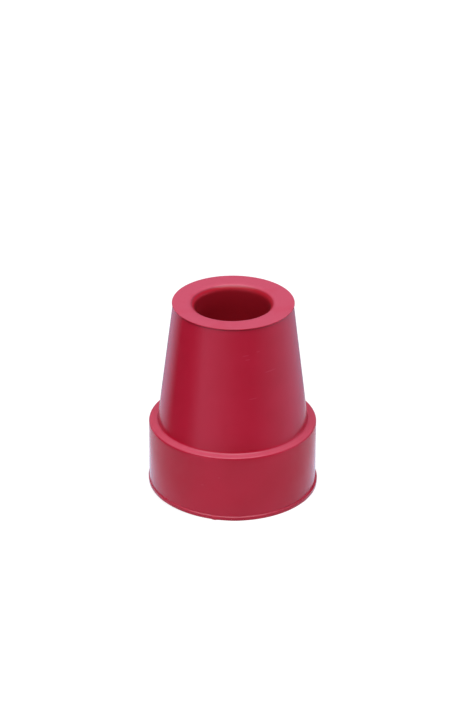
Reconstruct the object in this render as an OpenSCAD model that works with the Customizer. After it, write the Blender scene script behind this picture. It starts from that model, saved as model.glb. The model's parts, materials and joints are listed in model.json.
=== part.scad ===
// Rubber tip for a walking cane, moulded in one piece: a tapered sleeve that rises from a wide
// foot, a blind socket for the shaft, and a ring tread on the sole.
// Lengths are in millimetres. The origin is the middle of the sole, and +Z runs up the shaft.

/* [Socket] */
// Diameter of the socket, which is that of the shaft pushed into it
socket_d = 19; // [15:0.5:24]
// Depth of the socket below the top face
socket_depth = 36; // [25:0.5:44]
// Radius of the rounded mouth
mouth_r = 1.7; // [0.5:0.1:3]
// Radius of the corner between the socket's wall and its floor
socket_corner_r = 1; // [0.2:0.1:3]

/* [Sleeve] */
// Height of the top face above the ground
total_h = 51.6; // [46:0.1:75]
// Diameter of the sleeve at its top, under the lip
top_d = 30.8; // [29:0.1:37]
// Diameter of the sleeve where it meets the ledge
sleeve_foot_d = 39; // [34:0.1:41]

/* [Lip] */
// How far the lip round the top face stands out from the sleeve
lip_out = 0.25; // [0.2:0.05:1]
// Height of the lip's edge
lip_h = 0.6; // [0.4:0.1:2]
// Radius of the lip's edges and of the corner under it
lip_edge_r = 0.1; // [0.05:0.01:0.1]

/* [Foot] */
// Diameter of the foot
foot_d = 43.5; // [42:0.1:60]
// Height of the ledge above the ground
foot_h = 18.1; // [8:0.1:30]
// Radius of the ledge's outer edge
ledge_edge_r = 0.3; // [0.1:0.1:1]
// Radius of the corner where the sleeve rises from the ledge
ledge_corner_r = 0.5; // [0.1:0.1:1]

/* [Flash] */
// How far the flash of the mould stands out from the foot
flash_out = 0.35; // [0.2:0.05:1]
// Height of the flash above the ground, at the foot's wall
flash_h = 1.1; // [0.6:0.1:3]
// How far the top of the flash falls towards its edge
flash_fall = 0.2; // [0:0.05:0.25]
// Radius of the flash's upper and lower edges
flash_edge_r = 0.1; // [0.05:0.05:0.15]

/* [Tread] */
// Width of the plain rim round the tread
rim_w = 3; // [2:0.1:6]
// Width of a ring groove at the ground
groove_w = 2; // [1.2:0.1:4]
// Depth of a ring groove
groove_depth = 2; // [0.5:0.1:3]
// Draft angle of a groove's sides
groove_draft = 8; // [2:1:15]
// Radius of the corners at the floor of a groove
groove_corner_r = 0.4; // [0.1:0.1:0.5]
// Width of a ridge between two grooves
ridge_w = 2.5; // [1:0.1:5]
// Smallest diameter of the round pad in the middle of the sole
pad_d = 5; // [2:0.5:12]

/* [Hidden] */
$fn = 128;
arc_steps = 8;

socket_r = socket_d / 2;
socket_floor_z = total_h - socket_depth;
top_r = top_d / 2;
sleeve_foot_r = sleeve_foot_d / 2;
foot_r = foot_d / 2;
flash_r = foot_r + flash_out;
lip_r = top_r + lip_out;

// The grooves start inside the rim and repeat inwards for as long as the pad keeps its size
tread_r = foot_r - rim_w;
groove_pitch = groove_w + ridge_w;
groove_count = floor((tread_r - pad_d / 2 + ridge_w) / groove_pitch);
groove_lean = groove_depth * tan(groove_draft);

// Half of the body's section, as [distance from the axis, height, corner radius]
body_corners = [
  [0, 0, 0],
  [flash_r, 0, flash_edge_r],
  [flash_r, flash_h - flash_fall, flash_edge_r],
  [foot_r, flash_h, 0],
  [foot_r, foot_h, ledge_edge_r],
  [sleeve_foot_r, foot_h, ledge_corner_r],
  [top_r, total_h - lip_h, lip_edge_r],
  [lip_r, total_h - lip_h, lip_edge_r],
  [lip_r, total_h, lip_edge_r],
  [socket_r, total_h, mouth_r],
  [socket_r, socket_floor_z, socket_corner_r],
  [0, socket_floor_z, 0]
];

// Section of a groove whose outer side meets the ground at this distance from the axis
function groove_corners(outer_r) = [
  [outer_r, 0, 0],
  [outer_r - groove_lean, groove_depth, groove_corner_r],
  [outer_r - groove_w + groove_lean, groove_depth, groove_corner_r],
  [outer_r - groove_w, 0, 0],
  [outer_r - groove_w, -groove_depth, 0],
  [outer_r, -groove_depth, 0]
];

function unit(v) = v / norm(v);
function turned(v, angle) = [
  v.x * cos(angle) - v.y * sin(angle),
  v.x * sin(angle) + v.y * cos(angle)
];

// Arc of the given radius that touches both edges of a corner
function corner_arc(before, corner, after, radius) =
  let (
    back = unit(before - corner),
    on = unit(after - corner),
    half_angle = acos(back * on) / 2,
    centre = corner + unit(back + on) * radius / sin(half_angle),
    first = corner + back * radius / tan(half_angle) - centre,
    sweep = (180 - 2 * half_angle) * sign(cross(on, back))
  )
  [for (i = [0 : arc_steps]) centre + turned(first, sweep * i / arc_steps)];

// Outline through a list of [x, y, corner radius], with an arc at each corner that has a radius
function rounded(corners) =
  let (count = len(corners), places = [for (c = corners) [c.x, c.y]])
  [
    for (i = [0 : count - 1])
      each corners[i].z > 0
        ? corner_arc(places[(i + count - 1) % count], places[i], places[(i + 1) % count], corners[i].z)
        : [places[i]]
  ];

module tread_section() {
  for (i = [0 : groove_count - 1])
    polygon(rounded(groove_corners(tread_r - i * groove_pitch)));
}

module cane_tip() {
  color("crimson")
    rotate_extrude()
      difference() {
        polygon(rounded(body_corners));
        tread_section();
      }
}

cane_tip();
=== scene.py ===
import json
import math

import bpy
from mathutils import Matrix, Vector


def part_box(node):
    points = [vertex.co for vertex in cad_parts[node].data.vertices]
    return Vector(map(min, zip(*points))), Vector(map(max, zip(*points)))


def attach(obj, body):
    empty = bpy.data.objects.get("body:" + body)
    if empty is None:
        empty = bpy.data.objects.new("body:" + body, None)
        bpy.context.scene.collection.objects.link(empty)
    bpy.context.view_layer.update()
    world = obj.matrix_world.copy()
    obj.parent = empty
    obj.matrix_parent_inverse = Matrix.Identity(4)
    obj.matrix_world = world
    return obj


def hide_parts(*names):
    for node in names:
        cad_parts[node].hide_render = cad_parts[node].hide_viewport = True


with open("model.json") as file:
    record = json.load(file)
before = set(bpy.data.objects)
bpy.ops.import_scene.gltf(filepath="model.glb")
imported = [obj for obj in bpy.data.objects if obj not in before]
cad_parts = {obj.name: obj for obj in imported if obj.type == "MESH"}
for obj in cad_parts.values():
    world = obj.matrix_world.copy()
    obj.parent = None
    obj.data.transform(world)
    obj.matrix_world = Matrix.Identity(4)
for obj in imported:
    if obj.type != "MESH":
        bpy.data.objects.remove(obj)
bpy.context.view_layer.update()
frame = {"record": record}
mm = 0.001
print("frame loaded")


class Wire:  # one output of a node; arithmetic on it adds Math nodes
    def __init__(self, graph, socket):
        self.graph = graph
        self.socket = socket

    def other(self, name):
        return Wire(self.graph, self.socket.node.outputs[name])

    def math(self, operation, *others):
        return self.graph.math(operation, self, *others)

    def __add__(self, other):
        return self.math("ADD", other)

    def __radd__(self, other):
        return self.graph.math("ADD", other, self)

    def __sub__(self, other):
        return self.math("SUBTRACT", other)

    def __rsub__(self, other):
        return self.graph.math("SUBTRACT", other, self)

    def __mul__(self, other):
        return self.math("MULTIPLY", other)

    def __rmul__(self, other):
        return self.graph.math("MULTIPLY", other, self)

    def __truediv__(self, other):
        return self.math("DIVIDE", other)

    def __rtruediv__(self, other):
        return self.graph.math("DIVIDE", other, self)


class Graph:  # a node tree that is written as expressions
    def __init__(self, tree):
        self.tree = tree

    def add(self, kind, settings=None, values=None, output=0):
        node = self.tree.nodes.new(kind)
        for name, value in (settings or {}).items():
            if name == "stops":
                self.setStops(node.color_ramp, value)
            elif name == "cases":
                self.setCases(node.index_switch_items, value)
            else:
                setattr(node, name, value)
        for name, value in (values or {}).items():
            self.feed(node.inputs[name], value)
        return Wire(self, node.outputs[output]) if node.outputs else None

    def feed(self, socket, value):
        if isinstance(value, Wire):
            self.tree.links.new(value.socket, socket)
        else:
            socket.default_value = value

    def setStops(self, ramp, stops):
        while len(ramp.elements) < len(stops):
            ramp.elements.new(1.0)
        for element, (place, level) in zip(ramp.elements, stops):
            element.position = place
            element.color = (level, level, level, 1)

    def setCases(self, items, count):
        while len(items) < count:
            items.new()

    def math(self, operation, *terms):
        return self.add("ShaderNodeMath", {"operation": operation}, dict(enumerate(terms)))

    def ramp(self, value, low, high):  # 0 at low, 1 at high, smooth between
        settings = {"interpolation_type": "SMOOTHSTEP"}
        return self.add("ShaderNodeMapRange", settings, {"Value": value, 1: low, 2: high})

    def noise(self, vector, scale, detail):
        values = {"Vector": vector, "Scale": scale, "Detail": detail}
        return self.add("ShaderNodeTexNoise", None, values)

    def seededNoise(self, vector, seed, scale, detail):  # from about -1 to 1
        values = {"Vector": vector, "W": seed, "Scale": scale, "Detail": detail}
        return (self.add("ShaderNodeTexNoise", {"noise_dimensions": "4D"}, values) - 0.5) * 4

    def mixColour(self, factor, first, second):
        return self.add("ShaderNodeMix", {"data_type": "RGBA"}, {0: factor, 6: first, 7: second}, 2)

    def vector(self, x, y, z):
        return self.add("ShaderNodeCombineXYZ", None, {"X": x, "Y": y, "Z": z})

    def parts(self, vector):
        first = self.add("ShaderNodeSeparateXYZ", None, {"Vector": vector})
        return [first.other(name) for name in "XYZ"]


# the camera stands where the photograph was taken from
cameraPlace = {
    "elevation": 27.06,  # degrees above the horizon
    "distance": 0.7007,
    "aim": (0.25 * mm, 0.0, 37.56 * mm),
    "lens": 139.9,
    "roll": 0.33,
}


def placeCamera(place):
    elevation = math.radians(place["elevation"])
    back = (0.0, -math.cos(elevation), math.sin(elevation))
    data = bpy.data.cameras.new("camera")
    data.lens = place["lens"]
    camera = bpy.data.objects.new("camera", data)
    camera.location = [aim + b * place["distance"] for aim, b in zip(place["aim"], back)]
    camera.rotation_mode = "ZXY"  # the roll comes first, then the tilt
    camera.rotation_euler = (math.pi / 2 - elevation, 0.0, math.radians(place["roll"]))
    bpy.context.scene.collection.objects.link(camera)
    bpy.context.scene.camera = camera


placeCamera(cameraPlace)
print("camera placed")


# the rubber is a satin crimson; faces that look up get a paler colour, partly a bloom settled there and
# partly a painted sheen of the overhead light
rubberLook = {
    "colour": (0.477, 0.0080, 0.030, 1),
    "deep": (0.447, 0.0065, 0.026, 1),
    "inside": (0.39, 0.010, 0.020, 1),
    "mouth": (9.5 * mm, 11.0 * mm),  # the painted shade in the socket fades out between these radii
    "cloud": (90.0, 2.0),  # the scale and detail of a noise, here and in the next three
    "mottle": (500.0, 1.0),
    "grain": (2200.0, 1.0),
    "patches": (160.0, 2.0),
    "cloudLevels": (0.35, 0.7),  # the deep colour comes in between these levels of the cloud
    # painted shade: a dark line on the wall just under the lip, where the lip shades it
    "underLipShade": (0.13, 0.002, 0.007, 1),
    "lipUnderside": 51.3 * mm,
    "underLipShadeReach": 0.45 * mm,
    # painted sheen: the pale colour of faces that look up is partly a real bloom, partly the overhead
    # light's sheen painted in
    "palePaintedSheenAndBloom": (0.495, 0.076, 0.118, 1),
    # painted light: the ledge's pale colour is brighter still, to make up for the shade the sleeve casts
    # on it
    "palePaintedSheenAndBloomLedge": (0.545, 0.076, 0.118, 1),
    "ledgeToTop": (20 * mm, 30 * mm),  # the paler colour is the ledge's below, and the top face's above
    "paintedSheenAndBloomTilt": 0.45,  # how far up a face looks, of 1, where the bloom and painted sheen begin
    "paintedSheenAndBloomTiltTop": 0.25,  # and how much farther up near the top
    "paintedSheenAndBloom": 0.5,
    "paintedSheenAndBloomByPatch": 0.8,
    "paintedSheenAndBloomByMottle": 0.2,
    "flashTop": (1.5 * mm, 3 * mm),  # the flash counts in full below the first height
    "paintedSheenAndBloomLostOnFlash": 0.5,
    "roughness": 0.22,
    "roughByMottle": 0.04,
    "roughByCloud": 0.06,
    "roughByPaintedSheenAndBloom": 0.15,
    "roughInside": 0.2,
    "ior": 1.35,
    "sheen": 0.015,
    "sheenRoughness": 0.3,
    "sheenTint": (0.85, 0.9, 1.0, 1),
    "bump": 0.08,
    "bumpDepth": 0.02 * mm,
    "bumpShares": (0.6, 0.4),  # of the grain and of the mottle
    "scuff": (0.56, 0.045, 0.085, 1),
    "scuffs": [  # the middle of each faint scuff on the front, across and up, and half its length
        (3.2 * mm, 44.3 * mm, 1.1 * mm),
        (3.7 * mm, 43.2 * mm, 0.8 * mm),
        (6.3 * mm, 45.0 * mm, 0.5 * mm),
        (9.4 * mm, 39.2 * mm, 1.8 * mm),
        (5.1 * mm, 32.7 * mm, 1.4 * mm),
        (-7.6 * mm, 9.6 * mm, 0.5 * mm),
        (-3.4 * mm, 12.3 * mm, 0.4 * mm),
    ],
    "scuffWidth": 0.22 * mm,
    "scuffSlant": 0.08,
    "scuffCore": (0.3, 0.2),  # the share of its length and of its width at full strength
    "scuffStrength": 0.35,
}


def mouldedRubber(look):
    material = bpy.data.materials.new("crimson_rubber")
    material.use_nodes = True
    material.node_tree.nodes.clear()
    g = Graph(material.node_tree)
    place = g.add("ShaderNodeTexCoord").other("Object")
    facingUp = g.parts(place.other("Normal"))[2]

    cloud = g.noise(place, *look["cloud"])
    mottle = g.noise(place, *look["mottle"])
    grain = g.noise(place, *look["grain"])
    patches = g.noise(place, *look["patches"])

    x, y, height = g.parts(place)
    radius = (x * x + y * y).math("SQRT")
    outside = g.ramp(radius, *look["mouth"])
    # painted shade under the lip, darkest at the lip and gone within the reach below it
    below = look["lipUnderside"] - height
    underLipShade = below.math("GREATER_THAN", 0.0) * outside * (1 - g.ramp(below, 0.0, look["underLipShadeReach"]))
    onFlash = 1 - g.ramp(height, *look["flashTop"])
    onTop = g.ramp(height, *look["ledgeToTop"])
    patchy = look["paintedSheenAndBloom"] + look["paintedSheenAndBloomByPatch"] * patches + look["paintedSheenAndBloomByMottle"] * mottle
    patchy = patchy - look["paintedSheenAndBloomLostOnFlash"] * onFlash
    # painted sheen: faces that look up grow paler, partly a real bloom and partly the overhead light's
    # sheen, patchy and less on the flash
    palePaintedSheenAndBloom = g.ramp(facingUp, look["paintedSheenAndBloomTilt"] + look["paintedSheenAndBloomTiltTop"] * onTop, 1.0) * patchy
    paintedSheenAndBloomColour = g.mixColour(onTop, look["palePaintedSheenAndBloomLedge"], look["palePaintedSheenAndBloom"])
    colour = g.mixColour(g.ramp(cloud, *look["cloudLevels"]), look["colour"], look["deep"])
    # painted shade: the socket is coloured darker, where its walls lie in shade
    colour = g.mixColour(outside, look["inside"], colour)
    colour = g.mixColour(underLipShade, colour, look["underLipShade"])
    colour = g.mixColour(palePaintedSheenAndBloom, colour, paintedSheenAndBloomColour)
    scuffed = 0.0
    longCore, wideCore = look["scuffCore"]
    for across, up, reach in look["scuffs"]:
        along = (x - across).math("ABSOLUTE") / reach
        off = (height - up - (x - across) * look["scuffSlant"]).math("ABSOLUTE") / look["scuffWidth"]
        mark = (1 - g.ramp(along, longCore, 1.0)) * (1 - g.ramp(off, wideCore, 1.0))
        scuffed = mark.math("MAXIMUM", scuffed)
    scuffed = scuffed * y.math("LESS_THAN", 0.0) * look["scuffStrength"]
    colour = g.mixColour(scuffed, colour, look["scuff"])

    rough = look["roughness"] + (mottle - 0.5) * look["roughByMottle"]
    rough = rough + (cloud - 0.5) * look["roughByCloud"]
    rough = rough + palePaintedSheenAndBloom * look["roughByPaintedSheenAndBloom"] + (1 - outside) * look["roughInside"]
    grainShare, mottleShare = look["bumpShares"]
    uneven = grain * grainShare + mottle * mottleShare
    bump = {"Height": uneven, "Strength": look["bump"], "Distance": look["bumpDepth"]}
    normal = g.add("ShaderNodeBump", None, bump)
    surface = {
        "Base Color": colour,
        "Roughness": rough,
        "IOR": look["ior"],
        "Sheen Weight": look["sheen"],
        "Sheen Roughness": look["sheenRoughness"],
        "Sheen Tint": look["sheenTint"],
        "Normal": normal,
    }
    shader = g.add("ShaderNodeBsdfPrincipled", None, surface)
    g.add("ShaderNodeOutputMaterial", None, {"Surface": shader})
    return material


# the moulding's sizes, in metres; the outer ones and the socket come from the frame
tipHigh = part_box("cane_tip")[1]
socketMount = next(m for m in frame["record"]["mounts"] if m["name"] == "socket")
footRadius = 21.75 * mm
grooveDepth = 2.0 * mm
grooveDraft = math.radians(8)
tipSizes = {
    "Total Height": tipHigh.z,
    "Sleeve Top Radius": 15.4 * mm,
    "Sleeve Foot Radius": 19.5 * mm,
    "Lip Out": 0.25 * mm,
    "Lip Height": 0.3 * mm,  # worn thinner than the plain CAD lip
    "Lip Round": 0.1 * mm,
    "Ledge Corner Round": 0.75 * mm,
    "Foot Radius": footRadius,
    "Foot Height": 18.1 * mm,
    "Ledge Edge Round": 0.5 * mm,
    "Socket Radius": socketMount["dims"]["r_mm"] * mm,
    "Socket Depth": 36.0 * mm,
    "Mouth Round": 1.7 * mm,
    "Mouth Wear": 0.4,  # the share by which the mouth's rounding has worn wider at -X
    "Mouth Flare": 0.38 * mm,
    "Wear Power": 2.0,  # the higher it is, the closer the mouth's wear gathers about -X
    "Wear Reach Out": 5.0 * mm,  # the wear dies out this far from the socket's wall
    "Wear Reach Down": 6.0 * mm,  # and this far below the top face
    "Socket Corner Round": 1.0 * mm,
    "Flash Out": tipHigh.x - footRadius,
    "Flash Height": 1.1 * mm,
    "Flash Fall": 0.2 * mm,
    "Flash Round": 0.1 * mm,
    "Rim Width": 3.0 * mm,
    "Groove Width": 2.0 * mm,
    "Groove Depth": grooveDepth,
    "Groove Lean": grooveDepth * math.tan(grooveDraft),
    "Groove Corner Round": 0.4 * mm,
    "Ridge Edge Round": 0.12 * mm,
    "Ridge Width": 2.5 * mm,
    "Mould Shift": 0.12 * mm,  # the lower half of the mould sat this far towards +X
    "Sole Lift": 0.55 * mm,  # the sole was trimmed at a slight slant, highest at -X
    "Lift Starts": 16.5 * mm,  # the lift grows from this radius to the next
    "Lift Full": 20.0 * mm,
    "Lift Fades": 0.5 * mm,  # and dies out from this height to the next
    "Lift Ends": 3.5 * mm,
    "Flash Wander": 0.05 * mm,
    "Wander Scale": 4.0,
    "Wander Detail": 5.0,
    "Nib Out": 0.35 * mm,  # a torn scrap of flash
    "Nib Angle": math.radians(-101.8),
    "Nib Width": math.radians(1.4),
    "Waviness": 0.012 * mm,
    "Wave Scale": 110.0,
    "Wave Detail": 1.0,
    "Calm Radius": 5.0 * mm,  # the waviness dies out from here to the axis
    "Longest Step": 1.2 * mm,
    "Merge Distance": 0.001 * mm,
    "Seed": 4.0,
}
grooveCount = 4
stepsRound = 256
arcSteps = 8


def sectionCorners(size):  # half of the section, from the sole's middle to the socket's floor
    corners = [(0.0, 0.0, 0.0)]
    pitch = size["Groove Width"] + size["Ridge Width"]
    for i in reversed(range(grooveCount)):
        outer = size["Foot Radius"] - size["Rim Width"] - pitch * i
        inner = outer - size["Groove Width"]
        corners += [
            (inner, 0.0, size["Ridge Edge Round"]),
            (inner + size["Groove Lean"], size["Groove Depth"], size["Groove Corner Round"]),
            (outer - size["Groove Lean"], size["Groove Depth"], size["Groove Corner Round"]),
            (outer, 0.0, size["Ridge Edge Round"]),
        ]
    flashRadius = size["Foot Radius"] + size["Flash Out"]
    floorHeight = size["Total Height"] - size["Socket Depth"]
    lipRadius = size["Sleeve Top Radius"] + size["Lip Out"]
    lipHeight = size["Total Height"] - size["Lip Height"]
    corners += [
        (flashRadius, 0.0, size["Flash Round"]),
        (flashRadius, size["Flash Height"] - size["Flash Fall"], size["Flash Round"]),
        (size["Foot Radius"], size["Flash Height"], size["Flash Round"]),
        (size["Foot Radius"], size["Foot Height"], size["Ledge Edge Round"]),
        (size["Sleeve Foot Radius"], size["Foot Height"], size["Ledge Corner Round"]),
        (size["Sleeve Top Radius"], lipHeight, size["Lip Round"]),
        (lipRadius, lipHeight, size["Lip Round"]),
        (lipRadius, size["Total Height"], size["Lip Round"]),
        (size["Socket Radius"], size["Total Height"], size["Mouth Round"]),
        (size["Socket Radius"], floorHeight, size["Socket Corner Round"]),
        (0.0, floorHeight, 0.0),
    ]
    return corners


def mouldingTree(sizes, material):
    tree = bpy.data.node_groups.new("turned moulding", "GeometryNodeTree")
    tree.interface.new_socket("Geometry", in_out="INPUT", socket_type="NodeSocketGeometry")
    tree.interface.new_socket("Geometry", in_out="OUTPUT", socket_type="NodeSocketGeometry")
    for label in sizes:
        tree.interface.new_socket(label, in_out="INPUT", socket_type="NodeSocketFloat")
    g = Graph(tree)
    entry = g.add("NodeGroupInput")
    size = {label: entry.other(label) for label in sizes}
    index = g.add("GeometryNodeInputIndex")
    position = g.add("GeometryNodeInputPosition")

    # the section is a chain of points, moved to the corners and then rounded
    corners = sectionCorners(size)
    places = {"Index": index}
    rounds = {"Index": index}
    for number, (across, up, radius) in enumerate(corners):
        places[str(number)] = g.vector(across, 0.0, up)
        rounds[str(number)] = radius
    place = g.add("GeometryNodeIndexSwitch", {"data_type": "VECTOR", "cases": len(corners)}, places)
    turn = g.add("GeometryNodeIndexSwitch", {"data_type": "FLOAT", "cases": len(corners)}, rounds)
    section = g.add("GeometryNodeMeshLine", None, {"Count": len(corners)})
    section = g.add("GeometryNodeMeshToCurve", None, {"Mesh": section})
    section = g.add("GeometryNodeSetPosition", None, {"Geometry": section, "Position": place})
    rounding = {"Curve": section, "Count": arcSteps, "Radius": turn}
    section = g.add("GeometryNodeFilletCurve", {"mode": "POLY"}, rounding)

    # long straight stretches get points between their ends
    ahead = {"Value": position, "Index": index + 1}
    ahead = g.add("GeometryNodeFieldAtIndex", {"data_type": "FLOAT_VECTOR"}, ahead)
    stretch = g.add("ShaderNodeVectorMath", {"operation": "DISTANCE"}, {0: position, 1: ahead}, "Value")
    cuts = (stretch / size["Longest Step"]).math("FLOOR")
    section = g.add("GeometryNodeSubdivideCurve", None, {"Curve": section, "Cuts": cuts})

    # a grid with one column for each point of the section is turned about the axis
    count = g.add("GeometryNodeAttributeDomainSize", {"component": "CURVE"}, {"Geometry": section})
    body = g.add("GeometryNodeMeshGrid", None, {"Vertices X": count, "Vertices Y": stepsRound + 1})
    column = ((index + 0.5) / (stepsRound + 1)).math("FLOOR")
    angle = (index - column * (stepsRound + 1)) * (math.tau / stepsRound)
    sample = {"Geometry": section, "Value": position, "Index": column}
    sample = g.add("GeometryNodeSampleIndex", {"data_type": "FLOAT_VECTOR"}, sample)
    across, _, up = g.parts(sample)
    cosine = angle.math("COSINE")
    sine = angle.math("SINE")

    # the flash stands out unevenly, and the whole wall wavers a little
    flashRadius = size["Foot Radius"] + size["Flash Out"]
    share = {"Value": across, 1: size["Foot Radius"], 2: flashRadius}
    share = g.add("ShaderNodeMapRange", None, share)
    wander = g.vector(cosine, sine, 0.0)
    wander = g.seededNoise(wander, size["Seed"], size["Wander Scale"], size["Wander Detail"])
    fromNib = (angle - size["Nib Angle"]).math("WRAP", math.pi, -math.pi) / size["Nib Width"]
    nib = (0 - fromNib * fromNib).math("EXPONENT")
    flash = size["Mould Shift"] * cosine + size["Flash Wander"] * wander + size["Nib Out"] * nib
    wave = g.vector(across * cosine, across * sine, up)
    wave = g.seededNoise(wave, size["Seed"], size["Wave Scale"], size["Wave Detail"])
    wave = wave * g.ramp(across, 0.0, size["Calm Radius"])
    radius = across + share * flash + size["Waviness"] * wave

    # the mouth has worn rounder on one side, and the sole was trimmed at a slant
    worn = (0.5 - 0.5 * cosine).math("POWER", size["Wear Power"])
    fromWall = (across - size["Socket Radius"]).math("MAXIMUM", 0.0)
    down = size["Total Height"] - up
    nearWall = 1 - g.ramp(fromWall, size["Mouth Round"], size["Wear Reach Out"])
    nearTop = 1 - g.ramp(down, size["Mouth Round"], size["Wear Reach Down"])
    wornNear = nearWall * nearTop
    flare = size["Mouth Flare"] + size["Mouth Wear"] * fromWall.math("MINIMUM", size["Mouth Round"])
    radius = radius + worn * flare * wornNear
    nearRim = g.ramp(across, size["Lift Starts"], size["Lift Full"])
    nearSole = 1 - g.ramp(up, size["Lift Fades"], size["Lift Ends"])
    liftedNear = nearRim * nearSole
    lift = size["Sole Lift"] * (0 - cosine).math("MAXIMUM", 0.0) * liftedNear
    turned = g.vector(radius * cosine, radius * sine, up + lift)

    body = g.add("GeometryNodeSetPosition", None, {"Geometry": body, "Position": turned})
    merging = {"Geometry": body, "Distance": size["Merge Distance"]}
    body = g.add("GeometryNodeMergeByDistance", None, merging)
    body = g.add("GeometryNodeFlipFaces", None, {"Mesh": body})
    body = g.add("GeometryNodeSetShadeSmooth", None, {"Geometry": body, "Shade Smooth": True})
    body = g.add("GeometryNodeRealizeInstances", None, {"Geometry": body})
    body = g.add("GeometryNodeSetMaterial", None, {"Geometry": body, "Material": material})
    g.add("NodeGroupOutput", None, {0: body})
    return tree


def meshFromTree(name, tree, sizes, material):  # the tree's result as a plain mesh, with no modifier left
    piece = bpy.data.objects.new(name, bpy.data.meshes.new(name))
    bpy.context.scene.collection.objects.link(piece)
    modifier = piece.modifiers.new("moulding", "NODES")
    modifier.node_group = tree
    for item in tree.interface.items_tree:
        if item.name in sizes:
            modifier[item.identifier] = sizes[item.name]
    depsgraph = bpy.context.evaluated_depsgraph_get()
    mesh = bpy.data.meshes.new_from_object(piece.evaluated_get(depsgraph))
    mesh.materials.clear()  # the grid brings an empty slot of its own
    mesh.materials.append(material)
    piece.modifiers.clear()
    piece.data = mesh
    return piece


rubber = mouldedRubber(rubberLook)
tip = meshFromTree("cane_tip_moulding", mouldingTree(tipSizes, rubber), tipSizes, rubber)
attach(tip, "root")
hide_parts("cane_tip")
print("moulding made:", len(tip.data.vertices), "points")


# a pale floor, a round softbox overhead and low screens round the table, in a dark room
studio = {
    "tint": (1.0, 0.9, 1.26, 1),
    "screens": [  # how bright the screens are, by degrees round from the camera's side, left is -
        (-180, 0.3), (-165, 0.5), (-142, 1.05), (-125, 0.9), (-109, 0.0), (-76, 0.0), (-64, 0.4),
        (-52, 1.35), (-30, 1.19), (-10, 0.68), (10, 0.28), (32, 0.18), (57, 0.7), (82, 1.16),
        (107, 1.2), (135, 0.85), (160, 0.5), (180, 0.3),
    ],
    "screenTop": (16, 22),  # degrees up at which the screens end
    "backSide": (0.2, 0.7),  # a direction's share of +Y where the back begins and is full
    "backTop": (-6, 3),  # behind the tip they are mostly lower than the table's edge
    "backLoss": 0.75,  # the share of their light that is missing at the back
    "room": 0.01,
    "floorReach": 3.0,
    "floorShade": (0.8, 0.8, 0.86, 1),
    "floorPool": (0.35, 0.56, 0.76, 1),  # a painted glow in the floor behind the tip, which a reflection sees besides the floor itself
    "poolCentre": 5 * mm,
    "poolEdge": (22 * mm, 38 * mm),
    "floorPatch": (50 * mm, 68 * mm),  # past this radius a reflection sees the screens, not the floor
    "shadowDepth": 0.25,  # the share of the seen floor's white that a shadow can take
    "floorGlow": 0.85,
    "floorFade": (100 * mm, 500 * mm),  # farther than this the seen floor is as white as the wall
    "boxPower": 5.1,
    "boxColour": (1.0, 0.97, 1.06),
    "boxSize": 0.6,
    "boxDistance": 0.6,
    "boxHeight": 83,  # degrees above the floor
    "boxSide": -20,  # degrees round from the camera's side
}


def directionOf(side, height):  # a unit vector by degrees round from the camera's side and up
    around = math.radians(side)
    up = math.radians(height)
    return Vector((math.cos(up) * math.sin(around), -math.cos(up) * math.cos(around), math.sin(up)))


def sines(angles):  # of angles in degrees
    return [math.sin(math.radians(angle)) for angle in angles]


def studioWorld(look):
    world = bpy.data.worlds.new("studio")
    bpy.context.scene.world = world
    world.use_nodes = True
    world.node_tree.nodes.clear()
    g = Graph(world.node_tree)
    x, y, z = g.parts(g.add("ShaderNodeTexCoord").other("Generated"))
    around = x.math("ARCTAN2", 0 - y) / math.tau + 0.5
    stops = [(side / 360 + 0.5, level) for side, level in look["screens"]]
    screens = g.add("ShaderNodeValToRGB", {"stops": stops}, {"Fac": around})
    above = g.ramp(z, *sines(look["screenTop"]))
    behind = g.ramp(y, *look["backSide"]) * g.ramp(z, *sines(look["backTop"]))
    light = screens * (1 - above) * (1 - look["backLoss"] * behind) + look["room"] * above
    path = g.add("ShaderNodeLightPath")
    seen = path.other("Is Camera Ray").math("MAXIMUM", path.other("Is Transmission Ray"))
    colour = g.mixColour(seen, look["tint"], (1, 1, 1, 1))
    strength = seen + (1 - seen) * light
    shader = g.add("ShaderNodeBackground", None, {"Strength": strength, "Color": colour})
    g.add("ShaderNodeOutputWorld", None, {"Surface": shader})


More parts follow.
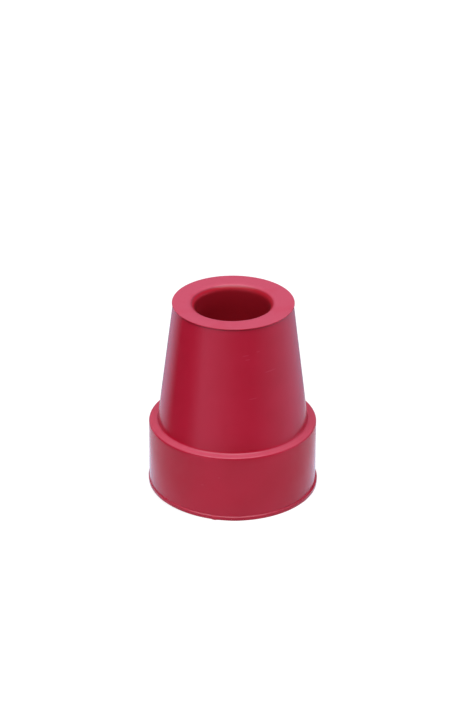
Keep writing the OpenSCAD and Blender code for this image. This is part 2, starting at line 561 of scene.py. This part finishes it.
def studioFloor(look):
    reach = look["floorReach"]
    mesh = bpy.data.meshes.new("floor")
    corners = [(-reach, -reach, 0), (reach, -reach, 0), (reach, reach, 0), (-reach, reach, 0)]
    mesh.from_pydata(corners, [], [(0, 1, 2, 3)])
    floor = bpy.data.objects.new("floor", mesh)
    bpy.context.scene.collection.objects.link(floor)
    material = bpy.data.materials.new("pale_floor")
    material.use_nodes = True
    material.node_tree.nodes.clear()
    g = Graph(material.node_tree)
    path = g.add("ShaderNodeLightPath")
    x, y, _ = g.parts(g.add("ShaderNodeTexCoord").other("Object"))
    depth = look["shadowDepth"]
    plain = g.add("ShaderNodeBsdfDiffuse", None, {"Color": look["floorShade"]})
    # painted glow: a patch of floor behind the tip shines, for reflections only
    back = y - look["poolCentre"]
    fromPool = (x * x + back * back).math("SQRT")
    pool = (1 - g.ramp(fromPool, *look["poolEdge"])) * path.other("Is Glossy Ray")
    pool = g.add("ShaderNodeEmission", None, {"Color": look["floorPool"], "Strength": pool})
    plain = g.add("ShaderNodeAddShader", None, {0: plain, 1: pool})
    shown = g.add("ShaderNodeBsdfDiffuse", None, {"Color": (depth, depth, depth, 1)})
    radius = (x * x + y * y).math("SQRT")
    glow = look["floorGlow"] + (1 - look["floorGlow"]) * g.ramp(radius, *look["floorFade"])
    glow = g.add("ShaderNodeEmission", None, {"Strength": glow})
    shown = g.add("ShaderNodeAddShader", None, {0: shown, 1: glow})
    past = g.ramp(radius, *look["floorPatch"]) * path.other("Is Glossy Ray")
    clear = g.add("ShaderNodeBsdfTransparent")
    shader = g.add("ShaderNodeMixShader", None, {0: path.other("Is Camera Ray"), 1: plain, 2: shown})
    shader = g.add("ShaderNodeMixShader", None, {0: past, 1: shader, 2: clear})
    g.add("ShaderNodeOutputMaterial", None, {"Surface": shader})
    mesh.materials.append(material)


def overheadBox(look):
    data = bpy.data.lights.new("softbox", "AREA")
    data.shape = "DISK"
    data.size = look["boxSize"]
    data.energy = look["boxPower"]
    data.color = look["boxColour"]
    box = bpy.data.objects.new("softbox", data)
    direction = directionOf(look["boxSide"], look["boxHeight"])
    box.location = direction * look["boxDistance"]
    box.rotation_euler = direction.to_track_quat("Z", "Y").to_euler()
    box.visible_camera = False
    bpy.context.scene.collection.objects.link(box)


studioWorld(studio)
studioFloor(studio)
overheadBox(studio)
bpy.context.scene.view_settings.view_transform = "Standard"
print("studio lit")
